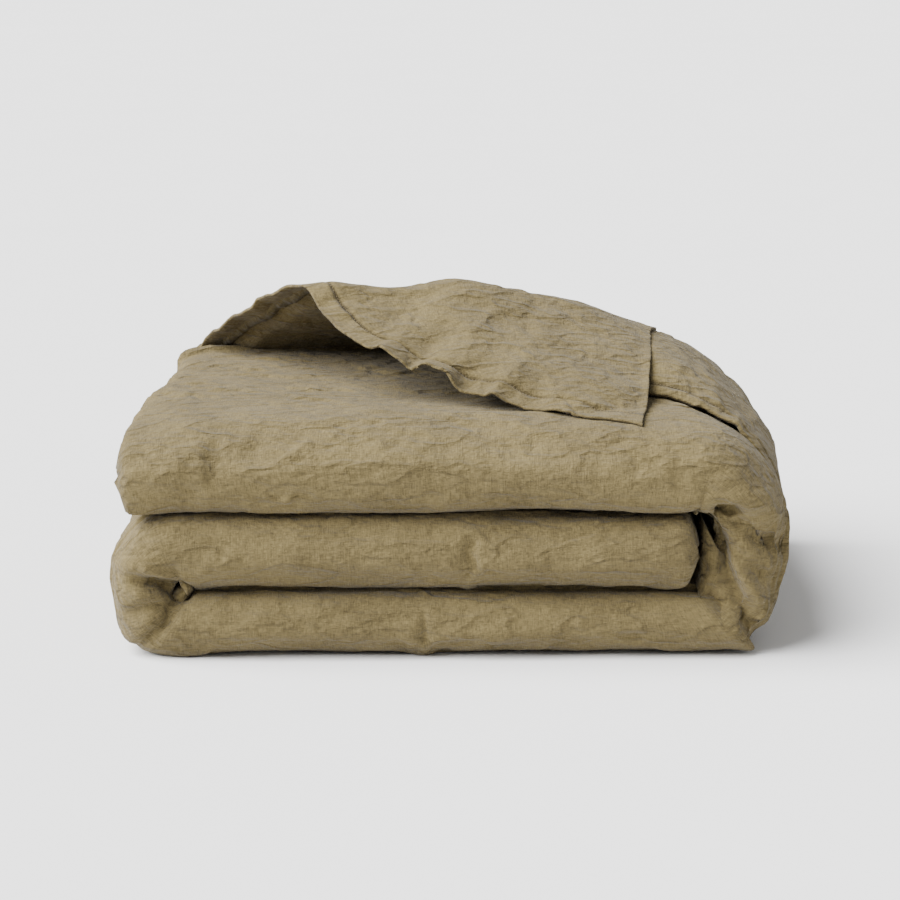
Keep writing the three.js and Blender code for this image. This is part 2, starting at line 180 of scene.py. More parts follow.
def swelled(piece, pressure, slack, cap, hold, frames=16):
    """Cloth with air in it: the skin is a little too large, so it puffs and wrinkles. cap and hold limit each move."""
    start = points_of(piece)
    cloth = piece.modifiers.new("cloth", "CLOTH")
    kind = cloth.settings
    kind.quality = 4
    kind.mass = 0.25
    kind.tension_stiffness = 18
    kind.compression_stiffness = 18
    kind.shear_stiffness = 6
    kind.bending_stiffness = 0.35
    kind.tension_damping = 12
    kind.compression_damping = 12
    kind.use_pressure = True
    kind.uniform_pressure_force = pressure
    kind.shrink_min = -slack
    kind.shrink_max = -slack
    kind.effector_weights.gravity = 0
    cloth.collision_settings.use_collision = False
    cloth.collision_settings.use_self_collision = False
    scene = bpy.context.scene
    cloth.point_cache.frame_start = 1
    cloth.point_cache.frame_end = frames
    for step in range(1, frames + 1):
        scene.frame_set(step)
    graph = bpy.context.evaluated_depsgraph_get()
    evaluated = piece.evaluated_get(graph)
    flat = np.empty(3 * len(evaluated.data.vertices))
    evaluated.data.vertices.foreach_get("co", flat)
    piece.modifiers.clear()
    scene.frame_set(1)
    move = flat.reshape(-1, 3) - start
    length = np.linalg.norm(move, axis=1)
    most = np.maximum(np.minimum(cap, hold), 1e-6)
    return start + move * (np.tanh(length / most) * most / np.maximum(length, 1e-9))[:, None]


# ---- The four-layer roll ----

RING_PITCH = 0.0074  # between the rings of a roll, before the grid is made finer
FINE_PITCH = 0.0037  # the same, after it
FACE_STEPS = 66
NOSE_STEPS = 30
LOBE_STEPS = 7
CREVICE_STEPS = 5


def section(half, front, back, nose, crevice):
    """One ring of the strip, as (y, n): the flat faces, the folded front and the three lobes of layers at the back."""
    rows = []
    lobe = half / 2
    quarter = half / 4
    nose_out, nose_in, level = nose
    for i in range(FACE_STEPS):
        t = i / FACE_STEPS
        rows.append((back - quarter + (front + nose_out - back + quarter) * t, half))
    for i in range(NOSE_STEPS):
        side = 2 * i / NOSE_STEPS - 1
        angle = math.pi / 2 * (1 + math.copysign(1 - (1 - abs(side)) ** 1.25, side))
        across = math.copysign(abs(math.cos(angle)) ** 0.8, math.cos(angle))
        out = math.sin(angle) ** 0.8
        if across > 0:
            rows.append((front + nose_out * (1 - out), level * half + (1 - level) * half * across))
        else:
            rows.append((front + nose_in * (1 - out), level * half + (1 + level) * half * across))
    for i in range(FACE_STEPS):
        t = i / FACE_STEPS
        rows.append((front + nose_in + (back - lobe - front - nose_in) * t, -half))

    def round_lobe(middle, radius):
        for i in range(LOBE_STEPS):
            angle = -math.pi / 2 + math.pi * i / LOBE_STEPS
            rows.append((back - radius + radius * math.cos(angle), middle + radius * math.sin(angle)))

    def crevice_walls(level, radius, next_radius):
        for i in range(CREVICE_STEPS):
            t = i / CREVICE_STEPS
            rows.append((back - radius - (crevice - radius) * t, level - 0.0004 * (1 - t)))
        for i in range(CREVICE_STEPS):
            t = i / CREVICE_STEPS
            rows.append((back - crevice + (crevice - next_radius) * t, level + 0.0004 * t))

    round_lobe(-lobe, lobe)
    crevice_walls(0, lobe, quarter)
    round_lobe(quarter, quarter)
    crevice_walls(lobe, quarter, quarter)
    round_lobe(3 * quarter, quarter)
    return np.array(rows)


def roll_grid(path, out, half, front, back, nose, ends):
    """Rings of the section along a path in X and Z, and where each point lies on the unrolled cloth."""
    crevice = half / 2 + 0.050 * ends**2
    rings = np.array([section(half[i], front[i], back[i], nose[i], crevice[i]) for i in range(len(path))])
    grid = np.empty((len(path), rings.shape[1], 3))
    grid[..., 0] = path[:, :1] + out[:, :1] * rings[..., 1]
    grid[..., 1] = rings[..., 0]
    grid[..., 2] = path[:, 1:] + out[:, 1:] * rings[..., 1]
    s = np.concatenate([[0], np.cumsum(np.linalg.norm(np.diff(path, axis=0), axis=1))])
    widest = rings[len(rings) // 2]
    around = np.concatenate([[0], np.cumsum(np.linalg.norm(np.diff(widest, axis=0), axis=1))])
    uv = np.stack(np.broadcast_arrays(around[None, :], s[:, None]), axis=2)
    return grid, uv


def roll_object(name, grid, uv, inside_out):
    """The closed skin over the rings, with a fan at each end."""
    rows, count = grid.shape[:2]
    index = np.arange(rows * count).reshape(rows, count)
    a, b = index[:-1], index[1:]
    quads = np.stack([a, np.roll(a, -1, 1), np.roll(b, -1, 1), b], axis=2).reshape(-1, 4)
    points = np.vstack([grid.reshape(-1, 3), grid[0].mean(axis=0), grid[-1].mean(axis=0)])
    places = np.vstack([uv.reshape(-1, 2), uv[0].mean(axis=0), uv[-1].mean(axis=0)])
    faces = [tuple(int(k) for k in quad) for quad in quads]
    centre = rows * count
    for j in range(count):
        k = (j + 1) % count
        faces.append((centre, int(index[0, k]), int(index[0, j])))
        faces.append((centre + 1, int(index[-1, j]), int(index[-1, k])))
    if inside_out:
        faces = [tuple(reversed(face)) for face in faces]
    return mesh_object(name, points, faces, places)


def grid_of(piece, shape):
    return points_of(piece)[: shape[0] * shape[1]].reshape(*shape)


def skin_normals(grid, inside_out):
    along = np.gradient(grid, axis=0)
    around = np.roll(grid, -1, 1) - np.roll(grid, 1, 1)
    return unit(np.cross(around, along)) * (-1 if inside_out else 1)


def run_path(stretches):
    """Joins straight stretches and half ellipses into one path of evenly spread rings."""
    points = []
    for kind, *values in stretches:
        if kind == "line":
            (x0, z0), (x1, z1) = values
            n = max(2, int(abs(x1 - x0) / 0.002))
            points.append(np.stack([np.linspace(x0, x1, n), np.linspace(z0, z1, n)], axis=1))
        else:
            x, z0, z1, rise = values
            angle = np.linspace(-math.pi / 2, math.pi / 2, 90)
            points.append(
                np.stack([x + rise * np.cos(angle), (z0 + z1) / 2 + (z1 - z0) / 2 * np.sin(angle)], axis=1)
            )
    joined = np.vstack(points)
    keep = np.concatenate([[True], np.linalg.norm(np.diff(joined, axis=0), axis=1) > 1e-6])
    joined = joined[keep]
    length = np.concatenate([[0], np.cumsum(np.linalg.norm(np.diff(joined, axis=0), axis=1))])
    count = int(length[-1] / RING_PITCH)
    at = np.linspace(0, length[-1], count)
    return np.stack([np.interp(at, length, joined[:, k]) for k in (0, 1)], axis=1), at


def outward(path, side):
    tangent = unit(np.gradient(path, axis=0))
    return side * np.stack([tangent[:, 1], -tangent[:, 0]], axis=1)


def press(points, normals, line, depth, width, reach=0.05):
    """Presses a crease into the front along a line of (x, z), or lifts a fold where depth is negative."""
    line = np.asarray(line, float)
    flat = points[:, [0, 2]]
    best = np.full(len(points), 1e9)
    share = np.zeros(len(points))
    for i in range(len(line) - 1):
        a, b = line[i], line[i + 1]
        t = np.clip(((flat - a) @ (b - a)) / np.dot(b - a, b - a), 0, 1)
        gap = np.linalg.norm(flat - (a + t[:, None] * (b - a)), axis=1)
        closer = gap < best
        best[closer] = gap[closer]
        share[closer] = ((i + t) / (len(line) - 1))[closer]
    taper = np.clip(4 * share, 0, 1) * np.clip(4 * (1 - share), 0, 1)
    front = 1 - smooth(points[:, 1], FRONT + 0.5 * reach, FRONT + 1.6 * reach)
    amount = depth * np.exp(-((best / width) ** 2)) * (0.35 + 0.65 * taper) * front
    return points - normals * amount[:, None]


def looseness(grid, pitch):
    """How free the cloth is at each point of a grid: 1 where it lies open, 0 where it is packed or doubled back."""
    way = unit(np.gradient(grid.mean(axis=1), axis=0))[:, None, :]
    along = (np.gradient(grid, axis=0) * way).sum(axis=2)
    around = np.linalg.norm(grid - np.roll(grid, 1, 1), axis=2)
    free = smooth(along, 0.3 * pitch, 0.8 * pitch) * smooth(around, 0.15 * pitch, 0.4 * pitch)
    for _ in range(4):
        free = np.minimum(free, 0.34 * (free + np.roll(free, 1, 1) + np.roll(free, -1, 1)))
        free[1:-1] = np.minimum(free[1:-1], 0.34 * (free[1:-1] + free[:-2] + free[2:]))
    return free.ravel()


def crinkled(points, normals, places, count, strength=1.0, seed=11):
    """The soft unevenness and the small crinkles of washed linen. places are the points on the flat cloth."""
    warp = np.stack([noise(points, 0.09, k) for k in (1, 2, 3)], axis=1) * 0.02
    moved = points + warp
    swell = 0.0030 * noise(points, 0.12, 4)
    folds = 0.0026 * (ridged(moved, (0.10, 0.07, 0.045), 0) - 0.35)
    fine = 0.0004 * noise(moved, 0.009, 2) + 0.0006 * ridged(moved, 0.015, 3)
    height = swell + folds + fine
    flat = places + warp[:, :2] * 0.6
    low, high = flat.min(axis=0), flat.max(axis=0)
    chance = np.random.default_rng(seed)
    for _ in range(count):
        middle = low + (high - low) * chance.random(2)
        turn = math.pi / 2 + chance.normal(0, 0.45)
        way = np.array([math.cos(turn), math.sin(turn)])
        length = 0.015 + 0.055 * chance.random() ** 2
        width = 0.0026 + 0.0040 * chance.random()
        depth = 0.0008 + 0.0016 * chance.random() ** 2
        near = np.nonzero(np.abs(flat - middle).max(axis=1) < 1.5 * length + 0.02)[0]
        gap = flat[near] - middle
        along = gap @ way / length
        off = (gap @ np.array([-way[1], way[0]]) + 0.004 * np.sin(5 * along)) / width
        fade = np.exp(-(along**4))
        height[near] += depth * fade * (0.9 * np.exp(-(((off - 1.7) / 1.3) ** 2)) - np.exp(-(off**2)))
    return points + normals * (strength * height)[:, None]


def tucked(points, side):
    """The slanting line at the right where the bottom run's end passes behind the bend."""
    a, b = np.array([0.2465, 0.064]), np.array([0.303, 0.001])
    way = (b - a) / np.linalg.norm(b - a)
    over = ((points[:, [0, 2]] - a) @ np.array([-way[1], way[0]])) * side
    front = 1 - smooth(points[:, 1], FRONT + 0.05, FRONT + 0.10)
    near = smooth(points[:, 0], 0.22, 0.245) * (1 - smooth(points[:, 2], 0.07, 0.085))
    points = points.copy()
    points[:, 1] += 0.016 * smooth(over, -0.001, 0.012) * front * near
    return points


def swelled_grid(name, grid, uv, inside_out, slack, cap):
    """The roll with air in it, wrinkled, on a grid twice as fine."""
    piece = roll_object(name, grid, uv, inside_out)
    start = points_of(piece)
    # Cloth that is packed close, in a crevice or inside a bend, hardly moves.
    along = np.linalg.norm(np.gradient(grid, axis=0), axis=2)
    around = np.linalg.norm(grid - np.roll(grid, 1, 1), axis=2)
    tightest = np.minimum(along, np.minimum(around, np.roll(around, -1, 1)))
    free = looseness(grid, RING_PITCH).reshape(grid.shape[:2])
    room = free * 1.6 * np.clip(tightest - 0.0016, 1e-4, None)
    room = np.minimum(room, np.roll(room, 1, 1))
    room = np.minimum(room, np.roll(room, -1, 1)).ravel()
    hold = np.concatenate([room, [1e-4, 1e-4]]) * (1 - 0.7 * smooth(start[:, 1], BACK - 0.09, BACK - 0.03))
    moved = swelled(piece, 3.0, slack, cap, hold)
    set_points(piece, moved)
    swollen = grid_of(piece, grid.shape)
    bpy.data.objects.remove(piece)
    fine = finer(swollen, True)
    places = np.concatenate([uv, uv[:, :1] + [[[uv[0, -1, 0] + 0.007, 0]]]], axis=1)
    fine_uv = finer(places, False)[:, :-1]
    return fine, fine_uv


def pressed(points, normals, creases, reach):
    for line, depth, width in creases:
        points = press(points, normals, line, depth, width, reach)
    return points


def make_stack():
    """The bottom run, the left bend and the middle run, from the head end."""
    low = BOTTOM_TOP / 2
    mid = (BOTTOM_TOP + MIDDLE_TOP) / 2
    rise = BEND_LEFT - LEFT - low - 0.006
    path, s = run_path(
        [
            ("line", (HEAD_END - 0.002, mid), (BEND_LEFT, mid)),
            ("bend", BEND_LEFT, mid, low, -rise),
            ("line", (BEND_LEFT, low), (BEND_RIGHT + 0.012, low)),
        ]
    )
    height = smooth(path[:, 1], low, mid)
    half = (BOTTOM_TOP / 2 - 0.001) * (1 - height) + ((MIDDLE_TOP - BOTTOM_TOP) / 2 - 0.001) * height
    at_head = np.sqrt(np.clip(1 - np.clip(1 - s / 0.022, 0, 1) ** 2.6, 0.02, 1))
    half = half * at_head
    sway = noise_along(s, 0, 0.16, 1)
    front = FRONT + 0.003 + 0.004 * sway + 0.012 * (1 - at_head) + 0.003 * (1 - height)
    back = BACK - 0.006 + 0.004 * noise_along(s, 1, 0.2, 2) - 0.02 * (1 - at_head)
    nose = np.stack([0.026 + 0.014 * height, np.full(len(s), 0.034), -0.25 * (height - 0.5)], axis=1)
    nose[:, 0] *= at_head
    nose[:, 1] *= at_head
    grid, uv = roll_grid(path, outward(path, -1), half, front, back, nose, at_head)
    slant = smooth(s, s[-1] - 0.10, s[-1])[:, None] * (1 - np.clip(grid[..., 2] / BOTTOM_TOP, 0, 1))
    corner = (1 - smooth(grid[..., 2], 0.0, 0.055)) * smooth(BEND_LEFT + 0.02 - grid[..., 0], 0, 0.05)
    grid[..., 0] -= 0.020 * corner * (1 - 0.5 * smooth(grid[..., 1], FRONT, BACK))
    grid[..., 0] += 0.045 * slant * (1 - smooth(grid[..., 1], FRONT + 0.01, FRONT + 0.07))
    grid, uv = swelled_grid("stack_blank", grid, uv, False, 0.040, 0.010)
    normals = skin_normals(grid, False)
    strength = 0.85 * looseness(grid, FINE_PITCH)
    points = crinkled(grid.reshape(-1, 3), normals.reshape(-1, 3), uv.reshape(-1, 2), 520, strength, 11)
    normals = skin_normals(points.reshape(grid.shape), False).reshape(-1, 3)
    # The pinch where the left bend's inner side comes out at the front, and the folds that run from it.
    creases = [
        ([(-0.316, 0.084), (-0.292, 0.078), (-0.268, 0.067)], 0.022, 0.0065),
        ([(-0.330, 0.048), (-0.304, 0.055), (-0.276, 0.060)], 0.007, 0.007),
        ([(-0.338, 0.096), (-0.316, 0.100), (-0.285, 0.088)], -0.006, 0.009),
        ([(-0.279, 0.062), (-0.287, 0.040), (-0.322, 0.006)], 0.009, 0.006),
    ]
    points = pressed(points, normals, creases, 0.07)
    points = tucked(points, 1)
    points[:, 2] = np.clip(points[:, 2], 0.0006, MIDDLE_TOP - 0.0004)
    return roll_object("cover_stack", points.reshape(grid.shape), uv, False)


def make_top():
    """The right bend and the top run, up to the open foot end."""
    low = BOTTOM_TOP / 2
    top = (TOP_BASE + TOP_TOP) / 2
    fat = 0.041
    turn = BEND_RIGHT - 0.006
    rise = RIGHT - 0.004 - turn - fat
    path, s = run_path(
        [
            ("line", (turn - 0.02, low), (turn, low)),
            ("bend", turn, low, top, rise),
            ("line", (turn, top), (FOOT_END + 0.001, top)),
        ]
    )
    height = smooth(path[:, 1], low, top)
    half = (BOTTOM_TOP / 2 - 0.001) * (1 - height) + ((TOP_TOP - TOP_BASE) / 2) * height
    bend = np.clip((path[:, 0] - turn) / rise, 0, 1)
    half = half + (fat - half) * smooth(bend, 0, 1)
    start = smooth(s, 0, 0.035)
    half *= 0.90 + 0.10 * start
    left = np.clip(1 - (s[-1] - s) / 0.022, 0, 1)
    at_foot = np.sqrt(np.clip(1 - left**2.6, 0.03, 1))
    half = half * at_foot
    sway = noise_along(s, 3, 0.17, 3)
    set_back = 0.016 * smooth(bend, 0.2, 1) * (1 - smooth(path[:, 1], 0.12, 0.17))
    front = FRONT + 0.001 + 0.004 * sway + 0.010 * (1 - at_foot) + 0.014 * (1 - start) + set_back
    back = BACK - 0.006 + 0.004 * noise_along(s, 1, 0.2, 2) - 0.02 * (1 - at_foot)
    on_top = smooth(height, 0.6, 1)
    round_bend = smooth(bend, 0, 1)
    nose = np.stack([0.034 + 0.075 * on_top, 0.036 - 0.008 * round_bend, -0.35 * on_top], axis=1)
    nose[:, 0] *= 0.5 + 0.5 * at_foot
    nose[:, 1] *= at_foot
    grid, uv = roll_grid(path, outward(path, 1), half, front, back, nose, at_foot)
    slant = smooth(s, s[-1] - 0.30, s[-1])[:, None] * smooth(grid[..., 1], FRONT, BACK)
    grid[..., 0] += 0.032 * slant
    # The bend's weight squares its lower corner against the floor.
    grid[..., 0] += 0.014 * (1 - smooth(grid[..., 2], 0.0, 0.06)) * smooth(grid[..., 0], turn, turn + 0.05)
    drop = smooth(s, s[-1] - 0.07, s[-1])[:, None]
    grid[..., 2] -= 0.007 * drop * (1 - smooth(grid[..., 1], FRONT, FRONT + 0.2))
    grid, uv = swelled_grid("top_blank", grid, uv, True, 0.040, 0.012)
    normals = skin_normals(grid, True)
    strength = 0.9 * looseness(grid, FINE_PITCH)
    points = crinkled(grid.reshape(-1, 3), normals.reshape(-1, 3), uv.reshape(-1, 2), 460, strength, 12)
    normals = skin_normals(points.reshape(grid.shape), True).reshape(-1, 3)
    creases = [
        ([(0.252, 0.142), (0.268, 0.150), (0.292, 0.148)], 0.024, 0.010),
        ([(0.250, 0.140), (0.266, 0.100), (0.292, 0.052), (0.308, 0.020)], 0.017, 0.009),
        ([(0.262, 0.128), (0.290, 0.100), (0.318, 0.075)], 0.011, 0.009),
        ([(0.266, 0.142), (0.300, 0.128), (0.334, 0.110)], 0.013, 0.010),
        ([(0.250, 0.070), (0.262, 0.062), (0.272, 0.052)], 0.014, 0.007),
        ([(0.276, 0.120), (0.296, 0.078), (0.314, 0.040)], -0.008, 0.010),
        ([(0.285, 0.165), (0.310, 0.160), (0.330, 0.140)], -0.005, 0.012),
    ]
    points = pressed(points, normals, creases, 0.07)
    # The cover's other hem, a low roll across the top in front of the turned-over layer's foot.
    beside, _ = distance_to(points[:, :2], curve_through([(-0.300, 0.160), (-0.200, 0.168), (-0.080, 0.170)], 20))
    on_roof = smooth(points[:, 2], TOP_TOP - 0.03, TOP_TOP - 0.01)
    points = points + normals * (0.008 * on_roof * np.exp(-((beside / 0.006) ** 2)))[:, None]
    points = tucked(points, -1)
    points[:, 2] = np.maximum(points[:, 2], 0.0006)
    # The underside rests on the middle run, and turns down beyond its end.
    rest = TOP_BASE + 0.0004 - 0.045 * smooth(points[:, 0], BEND_RIGHT - 0.012, BEND_RIGHT + 0.022)
    over = (points[:, 0] < BEND_RIGHT + 0.022) & (points[:, 2] > BOTTOM_TOP + 0.02)
    points[:, 2] = np.where(over, np.maximum(points[:, 2], rest), points[:, 2])
    return roll_object("cover_top", points.reshape(grid.shape), uv, True)


# ---- The turned-over layer ----

RIDGE_POINTS = [
    (-0.158, -0.012, 0.3460),
    (-0.120, -0.008, 0.3480),
    (-0.070, -0.002, 0.3460),
    (-0.010, 0.004, 0.3490),
    (0.030, 0.008, 0.3430),
    (0.100, 0.016, 0.3260),
    (0.160, 0.022, 0.3080),
    (0.212, 0.028, 0.2880),
]
HEM_POINTS = [
    (-0.158, -0.012, 0.3460),
    (-0.132, -0.052, 0.3150),
    (-0.104, -0.084, 0.2980),
    (-0.066, -0.112, 0.2850),
    (-0.020, -0.138, 0.2720),
    (0.030, -0.156, 0.2530),
    (0.078, -0.176, 0.2440),
    (0.130, -0.196, 0.2320),
    (0.188, -0.216, 0.2180),
]
SIDE_POINTS = [
    (0.212, 0.028, 0.2880),
    (0.208, -0.030, 0.2745),
    (0.203, -0.090, 0.2590),
    (0.198, -0.150, 0.2410),
    (0.188, -0.216, 0.2180),
]
FOOT_POINTS = [
    (-0.290, 0.190, 0.2320),
    (-0.150, 0.208, 0.2240),
    (-0.020, 0.212, 0.2180),
    (0.110, 0.206, 0.2180),
    (0.205, 0.190, 0.2180),
]
HEM_FOOT_POINTS = [
    (-0.290, 0.190, 0.2320),
    (-0.258, 0.135, 0.2680),
    (-0.212, 0.065, 0.3080),
    (-0.158, -0.012, 0.3460),
]
WALL_SIDE_POINTS = [
    (0.205, 0.190, 0.2180),
    (0.222, 0.140, 0.2600),
    (0.222, 0.080, 0.2800),
    (0.212, 0.028, 0.2880),
]


def patch(lower, upper, left, right, across, up):
    """A Coons patch: lower and upper run from left to right, left and right from lower to upper."""
    lower, upper = curve_through(lower, across), curve_through(upper, across)
    left, right = curve_through(left, up), curve_through(right, up)
    u = np.linspace(0, 1, across)[None, :, None]
    v = np.linspace(0, 1, up)[:, None, None]
    ruled = (1 - v) * lower[None] + v * upper[None]
    sides = (1 - u) * left[:, None] + u * right[:, None]
    corners = (
        (1 - u) * (1 - v) * lower[0] + u * (1 - v) * lower[-1] + (1 - u) * v * upper[0] + u * v * upper[-1]
    )
    return ruled + sides - corners


FLAP_ACROSS = 220
WALL_ROWS = 84
FLAP_ROWS = 124
HEM_SPLIT = 0.42
HEM_BAND = 0.024  # the stitched hem's width
WRAP_SEAM = 0.014  # how far the wrap's side seam lies in from its front edge
SHEET_THICK = 0.0030  # the turned-over layer, both leaves together


def turned_over_surface():
    """The outer face, by rows from the back wall's foot over the ridge to the flap's edge."""
    hem = curve_through(HEM_POINTS, 200)
    split = int(HEM_SPLIT * 199)
    wall_part = patch(FOOT_POINTS, RIDGE_POINTS, HEM_FOOT_POINTS, WALL_SIDE_POINTS, FLAP_ACROSS, WALL_ROWS)
    flap_part = patch(RIDGE_POINTS, hem[split:], hem[: split + 1], SIDE_POINTS, FLAP_ACROSS, FLAP_ROWS)
    return np.vstack([wall_part, flap_part[1:]])


def grid_normals(grid):
    du = np.gradient(grid, axis=1)
    dv = np.gradient(grid, axis=0)
    return unit(np.cross(dv, du))


def smoothed_rows(grid, passes, first, last):
    """Evens the rows between first and last, so that the ridge is a soft roll and not a crease."""
    grid = grid.copy()
    for _ in range(passes):
        grid[first:last] += 0.5 * (0.5 * (grid[first - 1 : last - 1] + grid[first + 1 : last + 1]) - grid[first:last])
    return grid


def distance_to(points, line):
    """Distance from each point to a line of points, and how far along the line its nearest point is."""
    best = np.full(len(points), 1e9)
    along = np.zeros(len(points))
    run = 0.0
    for a, b in zip(line[:-1], line[1:]):
        length = np.linalg.norm(b - a)
        t = np.clip(((points - a) @ (b - a)) / max(length**2, 1e-12), 0, 1)
        gap = np.linalg.norm(points - (a + t[:, None] * (b - a)), axis=1)
        closer = gap < best
        best[closer] = gap[closer]
        along[closer] = run + t[closer] * length
        run += length
    return best, along


def shell(name, outer, thickness, normals, seam):
    """A closed sheet: the outer grid, an inner grid the given thickness behind it, and a rim round both."""
    rows, columns = outer.shape[:2]
    inner = outer - normals * thickness[..., None]
    count = rows * columns
    points = np.vstack([outer.reshape(-1, 3), inner.reshape(-1, 3)])
    index = np.arange(count).reshape(rows, columns)
    faces = []
    for i in range(rows - 1):
        for j in range(columns - 1):
            a, b, c, d = index[i, j], index[i, j + 1], index[i + 1, j + 1], index[i + 1, j]
            faces.append((a, d, c, b))
            faces.append((a + count, b + count, c + count, d + count))
    ring = list(index[0, :]) + list(index[1:, -1]) + list(index[-1, -2::-1]) + list(index[-2:0:-1, 0])
    for a, b in zip(ring, ring[1:] + ring[:1]):
        faces.append((a, b, b + count, a + count))
    du = np.linalg.norm(np.gradient(outer, axis=1), axis=2).mean(axis=0).cumsum()
    dv = np.linalg.norm(np.gradient(outer, axis=0), axis=2).mean(axis=1).cumsum()
    uv = np.stack(np.broadcast_arrays(du[None, :], dv[:, None]), axis=2).reshape(-1, 2)
    piece = mesh_object(name, points, [tuple(int(k) for k in face) for face in faces], np.vstack([uv, uv]))
    # The seam mask is stored on the points so that the linen can darken along the stitch line: painted shade for the
    # pulled-in channel.
    layer = piece.data.attributes.new("seam", "FLOAT", "POINT")
    layer.data.foreach_set("value", np.tile(seam.ravel(), 2))
    return piece


CELL = 0.006


def height_map(piece):
    """How high the piece reaches in each cell of the floor plan."""
    points = points_of(piece)
    column = np.floor((points[:, 0] - LEFT) / CELL).astype(int) + 10
    row = np.floor((points[:, 1] - FRONT) / CELL).astype(int) + 10
    size = (int((RIGHT - LEFT) / CELL) + 30, int((BACK - FRONT) / CELL) + 30)
    tall = np.zeros(size)
    np.maximum.at(tall, (np.clip(column, 0, size[0] - 1), np.clip(row, 0, size[1] - 1)), points[:, 2])
    for turn in range(8):
        near = [np.roll(np.roll(tall, a, 0), b, 1) for a in (-1, 0, 1) for b in (-1, 0, 1)]
        tall = np.where(tall < 0.1, np.max(near, axis=0), tall) if turn < 6 else np.mean(near, axis=0)
    return tall


def height_at(tall, points):
    column = np.clip((points[..., 0] - LEFT) / CELL + 9.5, 0, tall.shape[0] - 1.001)
    row = np.clip((points[..., 1] - FRONT) / CELL + 9.5, 0, tall.shape[1] - 1.001)
    i, j = column.astype(int), row.astype(int)
    a, b = column - i, row - j
    lower = tall[i, j] * (1 - a) + tall[i + 1, j] * a
    upper = tall[i, j + 1] * (1 - a) + tall[i + 1, j + 1] * a
    return lower * (1 - b) + upper * b


def make_turned_over(below):
    grid = turned_over_surface()
    grid = smoothed_rows(grid, 60, WALL_ROWS - 14, WALL_ROWS + 14)
    normals = grid_normals(grid)
    flat = grid.reshape(-1, 3)
    n = normals.reshape(-1, 3)
    hem_line = np.vstack([curve_through(HEM_FOOT_POINTS, 60), curve_through(HEM_POINTS, 90)[1:]])
    gap, along = distance_to(flat, hem_line)
    side_line = curve_through(SIDE_POINTS, 50)
    side_gap, _ = distance_to(flat, side_line)
    rows = np.repeat(np.arange(grid.shape[0]), grid.shape[1]).reshape(grid.shape[:2])
    on_flap = smooth(rows, WALL_ROWS, WALL_ROWS + 20).ravel()
    # Loose folds that run down the flap, deepest at its hem.
    reach = np.exp(-gap / 0.06)
    wander = noise_along(along, 0, 0.09, 1)
    folds = 0.0060 * np.sin(2 * math.pi * (along / 0.085 + 0.8 * wander)) * reach
    folds += 0.0016 * np.sin(2 * math.pi * (along / 0.033 + 1.5 * wander)) * np.exp(-gap / 0.02)
    swell = 0.0045 * noise(flat, 0.10, 1) + 0.0022 * noise(flat, 0.05, 2)
    creases = 0.0016 * (ridged(flat, (0.05, 0.03, 0.03), 3) - 0.4)
    # The hem's stitch line is pulled in, and the cloth on both sides of it puckers.
    seam = np.abs(gap - HEM_BAND)
    channel = -0.0042 * np.exp(-((seam / 0.0026) ** 2))
    pucker = 0.0020 * noise_along(along, gap * 0.25, 0.011, 5) * np.exp(-((seam / 0.010) ** 2))
    rim = 0.0012 * np.exp(-((gap / 0.003) ** 2))
    roll = 0.0025 * np.exp(-((side_gap / 0.006) ** 2)) * smooth(rows, WALL_ROWS + 20, WALL_ROWS + 60).ravel()
    band = 0.0014 * (1 - smooth(gap, HEM_BAND - 0.002, HEM_BAND + 0.001))
    height = folds * (0.35 + 0.65 * on_flap) + swell + creases + channel + pucker + rim + roll + band
    from_peak = np.linalg.norm(flat - np.array(RIDGE_POINTS[0]), axis=1)
    height *= smooth(from_peak, 0.005, 0.055)
    flat = flat + n * height[:, None]
    steep = 1 - 0.65 * smooth(WALL_ROWS - rows, 0, 20).ravel()
    flat = crinkled(flat, n, flat[:, :2], 70, 0.5 * steep * smooth(from_peak, 0.0, 0.05), 13)
    grid = flat.reshape(grid.shape)
    # The sheet stays over the top run.
    floor = height_at(below, grid) + 0.001
    on_wall = 1 - smooth(rows, WALL_ROWS - 30, WALL_ROWS - 4)
    thick = SHEET_THICK + 0.010 * on_wall * smooth(gap.reshape(rows.shape), 0.02, 0.05)
    from_side = np.broadcast_to(np.arange(grid.shape[1])[::-1], rows.shape)
    thick = SHEET_THICK + (thick - SHEET_THICK) * smooth(from_side, 0, 16)
    lift = smooth(rows, 4, 26)
    grid[..., 2] = np.maximum(grid[..., 2], floor + thick - 0.03 * (1 - lift))
    normals = grid_normals(grid)
    # The last argument, high along the hem's stitch line, is the mask for the painted shade there.
    return shell("turned_over_cover", grid, thick, normals, np.exp(-((seam / 0.0020) ** 2))), grid, normals, gap, along


WRAP_FRONT = [
    (0.196, -0.100, 0.2430),
    (0.222, -0.112, 0.2400),
    (0.250, -0.122, 0.2330),
    (0.284, -0.138, 0.2230),
    (0.311, -0.152, 0.1990),
    (0.331, -0.163, 0.1660),
    (0.339, -0.170, 0.1400),
]
WRAP_CREST = [
    (0.196, 0.020, 0.2840),
    (0.225, 0.012, 0.2780),
    (0.258, 0.000, 0.2590),
    (0.290, -0.014, 0.2330),
    (0.319, -0.030, 0.2090),
    (0.337, -0.050, 0.1760),
    (0.343, -0.070, 0.1480),
]
WRAP_BACK = [
    (0.196, 0.190, 0.2560),
    (0.225, 0.190, 0.2530),
    (0.258, 0.188, 0.2430),
    (0.290, 0.184, 0.2250),
    (0.316, 0.178, 0.1980),
    (0.333, 0.170, 0.1680),
    (0.340, 0.160, 0.1440),
]


